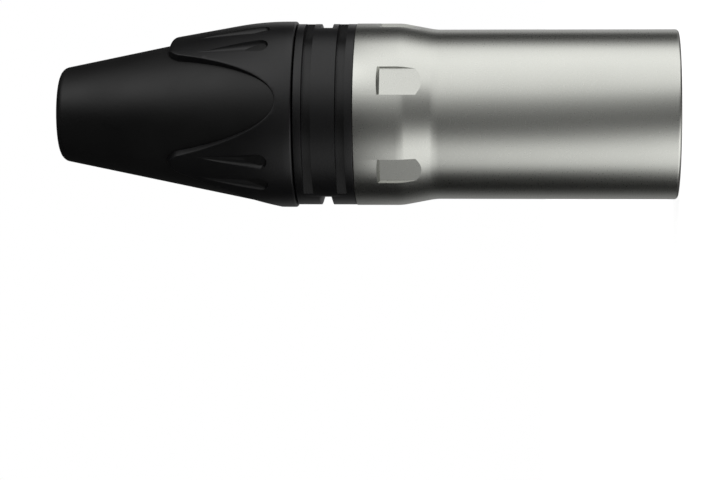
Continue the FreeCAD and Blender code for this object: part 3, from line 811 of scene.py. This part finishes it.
def scallop_cutter(s):
    """A wedge with an ellipse's end for outline, flared feet, leaning walls and eased edges."""
    apex = NUT_FRONT + s["scallop_setback"]
    end = NUT_FRONT + s["lobe_length"]
    reach = s["scallop_reach"]
    end_radius = lobe_surface(s, end)
    half_width = end_radius * math.sin(s["scallop_half"])
    # The line along which the two leaning walls would meet, by its distance from the axis
    lean = end_radius * math.cos(s["scallop_half"])
    lean -= half_width / math.tan(s["scallop_half"] + s["scallop_lean"])
    corner = s["lobe_corner"]
    ease = s["scallop_ease"]
    # The cutter starts clear of where its walls meet and ends clear of the nut
    margin = 1.2
    inner = lean + margin
    outer = NUT_RADIUS + margin

    def share(height):
        """Width of the scallop's ellipse at a height, as a share of its half axis."""
        return math.sqrt(max(1 - ((apex + reach - height) / reach) ** 2, 0.0))

    def wall(height):
        """Turn of the wall's outer edge from the scallop's middle, its radius and its slope."""
        radius = lobe_surface(s, min(height, end))
        across = half_width * share(min(height, end)) / share(end)
        out = math.sqrt(radius ** 2 - across ** 2)
        into_corner = min(max(height - (end - corner), 0.0), corner)
        widening = corner - math.sqrt(corner ** 2 - into_corner ** 2)
        slope = across / (out - lean) if height > apex else 0.0
        return math.asin(across / radius) + widening / radius, radius, slope

    def edge_way(height):
        """Unit vector square to the wall's edge on the lobe's surface: round the nut and along it."""
        if not apex < height < end:
            return 0.0, -1.0
        step = 1e-3
        (turn_before, radius_before, _), (turn_after, radius_after, _) = (
            wall(height - step), wall(height + step))
        growth = (turn_after * radius_after - turn_before * radius_before) / (2 * step)
        return 1 / math.hypot(1, growth), -growth / math.hypot(1, growth)

    def rows(height):
        """Points down the wall: outside, over the eased edge, and in to the wedge's foot."""
        turn, radius, slope = wall(height)
        aside, along = edge_way(height)
        edge = Vector((radius * math.sin(turn), radius * math.cos(turn), height))
        below = edge - Vector((slope, 1.0, 0.0)) * ease
        shifted = turn + ease * aside / radius
        rise = height + ease * along
        # A hair above the lobe, so that the cut doesn't run along its surface
        level = lobe_surface(s, min(rise, end)) + 0.004
        beside = Vector((level * math.sin(shifted), level * math.cos(shifted), rise))
        between = (below + beside) * 0.3 + edge * 0.4
        # Off the lobe along the same ray, then straight out
        clear = Vector((1.06 * beside.x, 1.06 * beside.y, rise))
        over = Vector((clear.x, outer, rise))
        foot = Vector((edge.x + slope * (inner - edge.y), inner, height))
        return over, clear, beside, between, below, foot

    # Heights lie closer near the apex, where the outline is blunt, and round the lobe's corner
    steps = 40
    heights = [apex + (end - corner - apex) * (step / steps) ** 2 for step in range(1, steps + 1)]
    heights += [end - corner + corner * math.sin(math.radians(9 * step)) for step in range(1, 11)]
    heights.append(end + 0.5)
    sides = [rows(height) for height in heights]
    middle = rows(apex)
    bm = bmesh.new()
    loops = []
    for row in range(len(middle)):
        right = [bm.verts.new((side[row].x, -side[row].y, side[row].z)) for side in sides]
        left = [bm.verts.new((-side[row].x, -side[row].y, side[row].z)) for side in sides]
        tip = bm.verts.new((0.0, -middle[row].y, middle[row].z))
        loops.append(right[::-1] + [tip] + left)
    return lofted(bm, loops)


def flute_cutter(s, turn):
    """A long drop: a ball whose tangent cone runs out through the lobe's surface."""
    start = NUT_FRONT + s["flute_setback"]
    end = start + s["flute_length"]
    start_radius = lobe_surface(s, start) + s["flute_radius"] - s["flute_depth"]
    end_lift = 0.12
    end_radius = lobe_surface(s, end) + end_lift
    reach = math.hypot(start_radius - end_radius, end - start)
    tilt = math.atan2(start_radius - end_radius, end - start)
    ball = s["flute_radius"]
    tangent = math.asin(ball / reach)
    bends = [-math.pi / 2 + (tangent + math.pi / 2) * step / 12 for step in range(13)]
    profile = [(ball * math.cos(bend), ball * math.sin(bend)) for bend in bends]
    profile[0] = (0.0, -ball)
    drop = rotated(turned(profile + [(0.0, reach)], steps=48), -tilt, "Y")
    bmesh.ops.translate(drop, vec=(start_radius, 0, start), verts=drop.verts[:])
    return rotated(drop, turn)


class PLUG_OT_boot_nut(bpy.types.Operator):
    """Turn the boot nut, scallop and flute its lobes and join them to the threaded core"""
    bl_idname = "plug.boot_nut"
    bl_label = "Boot nut"

    def execute(self, context):
        s = millimetres(settings("boot"))
        thread = millimetres(settings("thread"))
        end = NUT_FRONT + s["lobe_length"]
        apex = NUT_FRONT + s["scallop_setback"]
        slope = (s["gland_front"] - s["gland_tip"]) / (BOOT_END - apex)
        core_front = s["gland_front"] - s["gland_skin"]
        core_end = core_front - (CORE_END - apex) * slope
        root = s["bore"] + thread["depth"]
        # The lobes' own bore is wider than the thread's root, and the core fills all but its rim
        inside, rim = 8.9, 0.3
        heights = [NUT_FRONT + s["land"] + 0.7 * step for step in range(17)]
        curve = [(lobe_surface(s, height), height) for height in heights]
        lobes = turned([(inside, NUT_FRONT, SLIGHT), (NUT_RADIUS, NUT_FRONT, 0.22)] + curve + [
            (lobe_surface(s, end), end, s["lobe_round"]), (core_end - 0.5, end),
            (inside, THREAD_END - 1)])
        # The scallops aren't spread evenly: two of the lobes are narrow and the third is wide
        for place in range(COUNT_SCALLOPS):
            scallop = rotated(scallop_cutter(s), s["turn"] - place * s["scallop_pitch"])
            lobes = combined(lobes, scallop, "DIFFERENCE")
        # Four pairs of flutes at the same pitch: the wide lobe has two of them
        flutes = []
        for place in range(COUNT_SCALLOPS + 1):
            middle = s["turn"] - math.pi / 2 + (0.5 - place) * s["scallop_pitch"]
            flutes += [flute_cutter(s, middle + side * s["flute_pitch"] / 2) for side in (-1, 1)]
        lobes = combined(lobes, gathered(flutes), "DIFFERENCE")
        # The core's cone leaves the chuck a little play and narrows with its jaws
        play, cone = 0.12, 2.25
        seat = high("cable_chuck", 0) + play
        core = turned([
            (root, NUT_FRONT + rim), (core_front + rim, NUT_FRONT + rim),
            (core_end, CORE_END, SLIGHT), (seat - cone, CORE_END), (seat, THREAD_END),
            (root, THREAD_END)])
        whole = combined(lobes, core, "UNION")
        lead_in, lead_out = 1.2, 0.7
        ridge = thread_ridge(root, s["bore"], NUT_FRONT + lead_in, THREAD_END - lead_out,
                             thread["pitch"])
        whole = gathered([whole, ridge])
        finished(whole, "boot_nut_moulding", "boot", "nut_plastic", black_polyamide(), "boot_nut")
        return {"FINISHED"}


class PLUG_OT_boot_gland(bpy.types.Operator):
    """Turn the soft gland that fills the scallops and ends at the cable"""
    bl_idname = "plug.boot_gland"
    bl_label = "Boot gland"

    def execute(self, context):
        s = millimetres(settings("boot"))
        apex = NUT_FRONT + s["scallop_setback"]
        slope = (s["gland_front"] - s["gland_tip"]) / (BOOT_END - apex)
        start = low("boot_gland")
        # The skin stays a little off the nut's core, and its end off the core's end
        skin = s["gland_skin"] - 0.05
        front = s["gland_front"] + slope * (apex - start)
        step = CORE_END + 0.02
        gland = turned([
            (front - skin, start), (front, start), (s["gland_tip"], BOOT_END, s["tip_round"]),
            (s["cable_radius"], BOOT_END, 0.2), (s["cable_radius"], step),
            (s["gland_front"] - slope * (CORE_END - apex) - skin, step)])
        finished(gland, "boot_gland_sleeve", "boot", "gland_elastomer", black_elastomer(), "boot_gland")
        return {"FINISHED"}


class StageSizes(bpy.types.PropertyGroup):
    aim_height: length("Aim height", "Height on the plug's axis level with the camera", 16.8)
    distance: length("Camera distance", "From the plug's axis to the camera", 305.0)
    lens: bpy.props.FloatProperty(
        name="Lens", description="Focal length for a 36 mm sensor", default=135.1)
    azimuth: angle("Camera azimuth", "Where the camera stands, from -Y towards +X", -21.5)
    yaw: angle("Camera yaw", "Turn of the view towards the cable end", 3.507)
    pitch: angle("Camera pitch", "Turn of the view across the plug", 2.655)
    tent_radius: length("Tent radius", "From the plug's axis to the wall of the light tent", 600.0)


def bearing(turn):
    """Level direction at an angle from the camera's stand, positive towards the picture's top."""
    base = settings("stage").azimuth
    return Vector((math.sin(base + turn), -math.cos(base + turn), 0.0))


# Brightness of the light tent by angle in degrees from the camera's stand, positive towards
# the picture's top. The top band is what the boot mirrors, the upper one the ring and the
# nut's front, the middle one the barrel and the collar, and the bottom one the flare.
TENT_TOP = (
    (-180, 0.03), (-140, 0.02), (-20, 0.01), (0, 0.04), (14, 0.25), (27, 0.66), (40, 1.3),
    (54, 1.7), (68, 1.3), (84, 0.75), (100, 0.22), (123, 0.03), (150, 0.03))
TENT_UPPER = (
    (-180, 0.2), (-150, 0.2), (-134, 0.1), (-120, 0.0), (-92, 0.0), (-80, 0.15), (-70, 0.36),
    (-48, 0.5), (-38, 0.38), (-26, 0.2), (-14, 0.12), (0, 0.22), (12, 0.42), (22, 0.75),
    (32, 1.08), (50, 1.28), (78, 1.32), (98, 1.1), (110, 0.3), (120, 0.0), (138, 0.0),
    (152, 0.45))
TENT_MIDDLE = (
    (-180, 0.3), (-150, 0.3), (-134, 0.12), (-120, 0.0), (-93, 0.0), (-86, 0.06), (-78, 0.45),
    (-70, 0.88), (-50, 0.96), (-38, 0.56), (-26, 0.18), (-14, 0.12), (0, 0.2), (12, 0.36),
    (22, 0.62), (32, 0.94), (50, 1.08), (78, 1.36), (98, 1.25), (110, 0.4), (120, 0.0),
    (138, 0.0), (152, 0.65))
TENT_BOTTOM = (
    (-180, 0.1), (-144, 0.07), (-118, 0.0), (-100, 0.1), (-88, 0.9), (-76, 1.3), (-50, 1.5),
    (-36, 1.5), (-26, 0.9), (-16, 0.3), (-6, 0.1), (22, 0.1), (30, 0.5), (44, 1.2), (98, 1.4),
    (110, 0.7), (125, 0.2))
# The lid is dark all over; the foot lights the lower half of the mouth's rim
TENT_LID = ((-180, 0.04), (0, 0.04))
TENT_FOOT = (
    (-180, 0.2), (-120, 0.2), (-95, 0.8), (-30, 1.0), (-10, 0.2), (20, 0.05), (120, 0.05))

# Each band of the tent's wall with its lower and upper edge in metres
TENT_BANDS = (
    ("tent_top", 0.14, 0.9, TENT_TOP),
    ("tent_upper", 0.068, 0.14, TENT_UPPER),
    ("tent_middle", -0.13, 0.068, TENT_MIDDLE),
    ("tent_bottom", -0.7, -0.13, TENT_BOTTOM),
)


def softbox(name, turn, distance, width, height, radiance, middle):
    """An even upright panel of light, at an angle from the camera's stand.

    Sizes are in metres; reflections see the tent in its place.
    """
    data = bpy.data.lights.new(name, "AREA")
    data.shape = "RECTANGLE"
    data.size = width
    data.size_y = height
    data.energy = radiance * math.pi * width * height
    lamp = bpy.data.objects.new(name, data)
    bpy.context.scene.collection.objects.link(lamp)
    out = bearing(turn)
    lamp.location = out * distance + Vector((0, 0, middle))
    lamp.rotation_mode = "QUATERNION"
    lamp.rotation_quaternion = out.to_track_quat("Z", "Y")
    lamp.visible_glossy = False


def tent_cloth(name, table):
    """Glowing cloth whose brightness follows a table of angles round the plug."""
    material = bpy.data.materials.new(name)
    material.use_nodes = True
    tree = material.node_tree
    tree.nodes.clear()
    place = add(tree, "ShaderNodeTexCoord").outputs["Object"]
    flat = add(tree, "ShaderNodeSeparateXYZ", None, {"Vector": place})
    turn = add(tree, "ShaderNodeMath", None, {0: flat.outputs["Y"], 1: flat.outputs["X"]},
               operation="ARCTAN2")
    share = add(tree, "ShaderNodeMapRange", {"From Min": -math.pi, "From Max": math.pi},
                {"Value": turn.outputs[0]})
    ramp = add(tree, "ShaderNodeValToRGB", None, {"Fac": share.outputs["Result"]})
    stand = settings("stage").azimuth - math.pi / 2
    brightest = max(level for degrees, level in table)
    stops = sorted(
        (((math.radians(degrees) + stand + math.pi) / (2 * math.pi)) % 1.0, level / brightest)
        for degrees, level in table)
    # The ramp starts and ends with the brightness where the turn closes
    first, last = stops[0], stops[-1]
    gap = first[0] + 1.0 - last[0]
    seam = last[1] + (first[1] - last[1]) * (1.0 - last[0]) / gap
    stops = [(0.0, seam)] + stops + [(1.0, seam)]
    elements = ramp.color_ramp.elements
    while len(elements) < len(stops):
        elements.new(0.5)
    for element, (spot, level) in zip(elements, stops):
        element.position = spot
        element.color = (level, level, level, 1)
    glow = add(tree, "ShaderNodeEmission", {"Strength": brightest}, {"Color": ramp.outputs["Color"]})
    add(tree, "ShaderNodeOutputMaterial", None, {"Surface": glow.outputs["Emission"]})
    return material


def hang(bm, name, table):
    """Hang a piece of the tent's cloth, which only reflections see."""
    mesh = bpy.data.meshes.new(name)
    bm.to_mesh(mesh)
    bm.free()
    mesh.materials.append(tent_cloth(name, table))
    cloth = bpy.data.objects.new(name, mesh)
    bpy.context.scene.collection.objects.link(cloth)
    cloth.visible_camera = False
    cloth.visible_diffuse = False
    cloth.visible_transmission = False
    cloth.visible_shadow = False


def tent_band(name, bottom, top, table):
    """Hang one band of the tent's round wall."""
    radius = settings("stage").tent_radius
    bm = bmesh.new()
    ends = [bm.verts.new((radius, 0, height)) for height in (bottom, top)]
    bm.edges.new(ends)
    bmesh.ops.spin(
        bm, geom=bm.verts[:] + bm.edges[:], cent=(0, 0, 0), axis=(0, 0, 1), dvec=(0, 0, 0),
        angle=2 * math.pi, steps=TENT_STEPS, use_merge=True, use_duplicate=False)
    hang(bm, name, table)


def tent_end(name, height, table):
    """Hang the cloth that closes an end of the tent."""
    bm = bmesh.new()
    bmesh.ops.create_circle(
        bm, cap_ends=True, segments=TENT_STEPS, radius=settings("stage").tent_radius)
    bmesh.ops.translate(bm, vec=(0, 0, height), verts=bm.verts[:])
    hang(bm, name, table)


def white_paper():
    """White paper sweep: reads as white to the camera and still takes the plug's soft shadow."""
    material, tree, shader = new_material("white_paper")
    shader.inputs["Base Color"].default_value = (*linear("#F2F2F2"), 1)
    shader.inputs["Roughness"].default_value = 0.9
    # The glow that lifts it to white is for the camera alone
    path = add(tree, "ShaderNodeLightPath")
    lift = add(tree, "ShaderNodeMath", {1: 0.72}, {0: path.outputs["Is Camera Ray"]},
               operation="MULTIPLY")
    tree.links.new(lift.outputs[0], shader.inputs["Emission Strength"])
    shader.inputs["Emission Color"].default_value = (1, 1, 1, 1)
    return material


class PLUG_OT_stage(bpy.types.Operator):
    """Set the camera, the white sweep, the soft lights and the light tent"""
    bl_idname = "plug.stage"
    bl_label = "Stage"

    def execute(self, context):
        s = settings("stage")
        scene = context.scene
        scene.view_settings.view_transform = "Standard"

        # Camera: level with a point near the mouth, rolled so that the plug lies across the picture
        ahead = -bearing(0.0)
        right = Vector((0, 0, -1))
        up = right.cross(-ahead) * -1
        yawed_right = right * math.cos(s.yaw) + ahead * math.sin(s.yaw)
        yawed_ahead = ahead * math.cos(s.yaw) - right * math.sin(s.yaw)
        pitched_up = up * math.cos(s.pitch) + yawed_ahead * math.sin(s.pitch)
        pitched_ahead = yawed_ahead * math.cos(s.pitch) - up * math.sin(s.pitch)
        view = Matrix((yawed_right, pitched_up, -pitched_ahead)).transposed().to_4x4()
        data = bpy.data.cameras.new("camera")
        data.lens = s.lens
        data.sensor_width = 36.0
        data.clip_start = 0.01
        data.clip_end = 10.0
        camera = bpy.data.objects.new("camera", data)
        scene.collection.objects.link(camera)
        stand = Vector((0, 0, s.aim_height)) - ahead * s.distance
        camera.matrix_world = Matrix.Translation(stand) @ view
        scene.camera = camera

        bm = bmesh.new()
        bmesh.ops.create_grid(bm, x_segments=1, y_segments=1, size=2.0)
        mesh = bpy.data.meshes.new("paper_floor")
        bm.to_mesh(mesh)
        bm.free()
        mesh.materials.append(white_paper())
        floor = bpy.data.objects.new("paper_floor", mesh)
        scene.collection.objects.link(floor)
        floor.visible_glossy = False
        floor.visible_shadow = False

        softbox("key_softbox", math.radians(70), distance=0.5, width=0.5, height=0.6,
                radiance=1.6, middle=0.3)
        softbox("fill_softbox", math.radians(-60), distance=0.5, width=0.4, height=0.6,
                radiance=0.5, middle=0.3)
        for band in TENT_BANDS:
            tent_band(*band)
        tent_end("tent_lid", max(top for _, _, top, _ in TENT_BANDS), TENT_LID)
        tent_end("tent_foot", min(bottom for _, bottom, _, _ in TENT_BANDS), TENT_FOOT)

        world = bpy.data.worlds.new("white_studio")
        world.use_nodes = True
        scene.world = world
        tree = world.node_tree
        tree.nodes.clear()
        # Full white where the camera, a mirror or a clear part sees the world; as a light it is
        # a dim fill, so that the softboxes shape the plug
        path = add(tree, "ShaderNodeLightPath")
        direct = add(tree, "ShaderNodeMath", None,
                     {0: path.outputs["Is Camera Ray"], 1: path.outputs["Is Glossy Ray"]},
                     operation="MAXIMUM")
        seen = add(tree, "ShaderNodeMath", None,
                   {0: direct.outputs[0], 1: path.outputs["Is Transmission Ray"]},
                   operation="MAXIMUM")
        fill = add(tree, "ShaderNodeBackground", {"Color": (1, 1, 1, 1), "Strength": 0.35})
        white = add(tree, "ShaderNodeBackground", {"Color": (1, 1, 1, 1), "Strength": 1.0})
        both = add(tree, "ShaderNodeMixShader", None,
                   {0: seen.outputs[0], 1: fill.outputs[0], 2: white.outputs[0]})
        add(tree, "ShaderNodeOutputWorld", None, {"Surface": both.outputs[0]})
        return {"FINISHED"}


OPERATORS = (
    PLUG_OT_shell,
    PLUG_OT_insert,
    PLUG_OT_contacts,
    PLUG_OT_chuck,
    PLUG_OT_ring,
    PLUG_OT_boot_nut,
    PLUG_OT_boot_gland,
    PLUG_OT_stage,
)
GROUPS = {
    "shell": ShellSizes,
    "thread": ThreadSizes,
    "insert": InsertSizes,
    "chuck": ChuckSizes,
    "ring": RingSizes,
    "boot": BootSizes,
    "finishes": Finishes,
    "stage": StageSizes,
}


class PLUG_PT_panel(bpy.types.Panel):
    """Buttons for each piece of the plug and for its stage"""
    bl_idname = "PLUG_PT_panel"
    bl_label = "XLR plug"
    bl_space_type = "VIEW_3D"
    bl_region_type = "UI"
    bl_category = "XLR plug"

    def draw(self, context):
        for operator in OPERATORS:
            self.layout.operator(operator.bl_idname)


def register():
    for group in GROUPS.values():
        bpy.utils.register_class(group)
    for name, group in GROUPS.items():
        setattr(bpy.types.Scene, "plug_" + name, bpy.props.PointerProperty(type=group))
    for operator in OPERATORS:
        bpy.utils.register_class(operator)
    bpy.utils.register_class(PLUG_PT_panel)


def unregister():
    bpy.utils.unregister_class(PLUG_PT_panel)
    for operator in reversed(OPERATORS):
        bpy.utils.unregister_class(operator)
    for name in GROUPS:
        delattr(bpy.types.Scene, "plug_" + name)
    for group in reversed(GROUPS.values()):
        bpy.utils.unregister_class(group)


def main():
    register()
    for operator in OPERATORS:
        group, name = operator.bl_idname.split(".")
        getattr(getattr(bpy.ops, group), name)()


if __name__ == "__main__":
    main()
